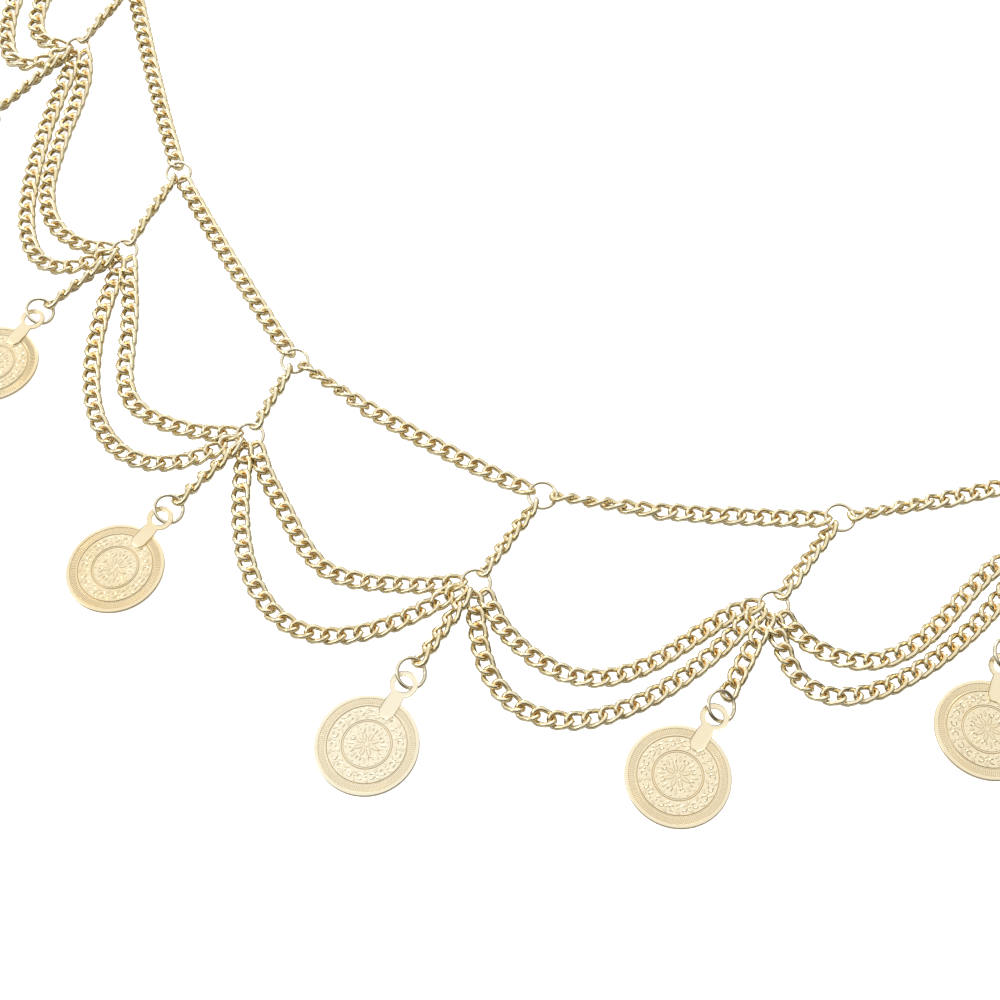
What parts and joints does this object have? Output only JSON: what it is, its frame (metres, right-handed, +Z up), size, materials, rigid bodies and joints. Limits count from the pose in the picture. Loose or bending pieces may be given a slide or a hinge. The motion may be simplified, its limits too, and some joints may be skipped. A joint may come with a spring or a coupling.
{
  "type": "coin body chain",
  "caption": "Body chain of curb links laid flat: a waist chain with doubled swags and round coins hanging from jump rings, a hook at one end and a catch ring at the other.",
  "frame": {"origin": "bottom centre of the bounding box, on the surface that the chain lies on", "axes": "+Z up off the surface, +X to the right of the picture, +Y away from its viewer"},
  "size_m": [0.3334, 0.3778, 0.0038],
  "materials": {
    "chain_gold": "polished pale gold plating",
    "ring_gold": "polished champagne gold plating",
    "coin_gold": "satin pale gold, struck relief",
    "hook_gold": "polished pale gold plating"
  },
  "bodies": {
    "chain": {"coin_chain_1": "chain_gold", "coin_chain_2": "chain_gold", "coin_chain_3": "chain_gold", "coin_chain_4": "chain_gold", "coin_chain_5": "chain_gold", "coin_chain_6": "chain_gold", "coin_chain_7": "chain_gold", "drop_chain_1": "chain_gold", "drop_chain_2": "chain_gold", "drop_chain_3": "chain_gold", "drop_chain_4": "chain_gold", "drop_chain_5": "chain_gold", "drop_chain_6": "chain_gold", "drop_chain_7": "chain_gold", "hook": "hook_gold", "ring_catch": "ring_gold", "ring_coin_1": "ring_gold", "ring_coin_2": "ring_gold", "ring_coin_3": "ring_gold", "ring_coin_4": "ring_gold", "ring_coin_5": "ring_gold", "ring_coin_6": "ring_gold", "ring_coin_7": "ring_gold", "ring_swag_1": "ring_gold", "ring_swag_2": "ring_gold", "ring_swag_3": "ring_gold", "ring_swag_4": "ring_gold", "ring_swag_5": "ring_gold", "ring_swag_6": "ring_gold", "ring_swag_7": "ring_gold", "ring_top_1": "ring_gold", "ring_top_2": "ring_gold", "ring_top_3": "ring_gold", "ring_top_4": "ring_gold", "ring_top_5": "ring_gold", "ring_top_6": "ring_gold", "ring_top_7": "ring_gold", "swag_pair_1": "chain_gold", "swag_pair_2": "chain_gold", "swag_pair_3": "chain_gold", "swag_pair_4": "chain_gold", "swag_pair_5": "chain_gold", "swag_pair_6": "chain_gold", "waist_chain_1": "chain_gold", "waist_chain_2": "chain_gold", "waist_chain_3": "chain_gold", "waist_chain_4": "chain_gold", "waist_chain_5": "chain_gold", "waist_chain_6": "chain_gold", "waist_chain_left": "chain_gold", "waist_chain_right": "chain_gold"},
    "coin_1_body": {"coin_1": "coin_gold"},
    "coin_2_body": {"coin_2": "coin_gold"},
    "coin_3_body": {"coin_3": "coin_gold"},
    "coin_4_body": {"coin_4": "coin_gold"},
    "coin_5_body": {"coin_5": "coin_gold"},
    "coin_6_body": {"coin_6": "coin_gold"},
    "coin_7_body": {"coin_7": "coin_gold"}
  },
  "joints": [
    {"name": "coin_1_swing", "type": "hinge", "parent": "chain", "child": "coin_1_body", "pos_m": [-0.14905, 0.04089, 0.0017], "axis": [0, 0, 1], "range_deg": [-25, 12]},
    {"name": "coin_2_swing", "type": "hinge", "parent": "chain", "child": "coin_2_body", "pos_m": [-0.14552, -0.02635, 0.0017], "axis": [0, 0, 1], "range_deg": [-25, 25]},
    {"name": "coin_3_swing", "type": "hinge", "parent": "chain", "child": "coin_3_body", "pos_m": [-0.12345, -0.0827, 0.0017], "axis": [0, 0, 1], "range_deg": [-25, 25]},
    {"name": "coin_4_swing", "type": "hinge", "parent": "chain", "child": "coin_4_body", "pos_m": [-0.09113, -0.13008, 0.0017], "axis": [0, 0, 1], "range_deg": [-25, 25]},
    {"name": "coin_5_swing", "type": "hinge", "parent": "chain", "child": "coin_5_body", "pos_m": [-0.04441, -0.16362, 0.0017], "axis": [0, 0, 1], "range_deg": [-25, 25]},
    {"name": "coin_6_swing", "type": "hinge", "parent": "chain", "child": "coin_6_body", "pos_m": [0.00901, -0.1697, 0.0017], "axis": [0, 0, 1], "range_deg": [-15, 25]},
    {"name": "coin_7_swing", "type": "hinge", "parent": "chain", "child": "coin_7_body", "pos_m": [0.06026, -0.16024, 0.0017], "axis": [0, 0, 1], "range_deg": [-15, 25]}
  ]
}
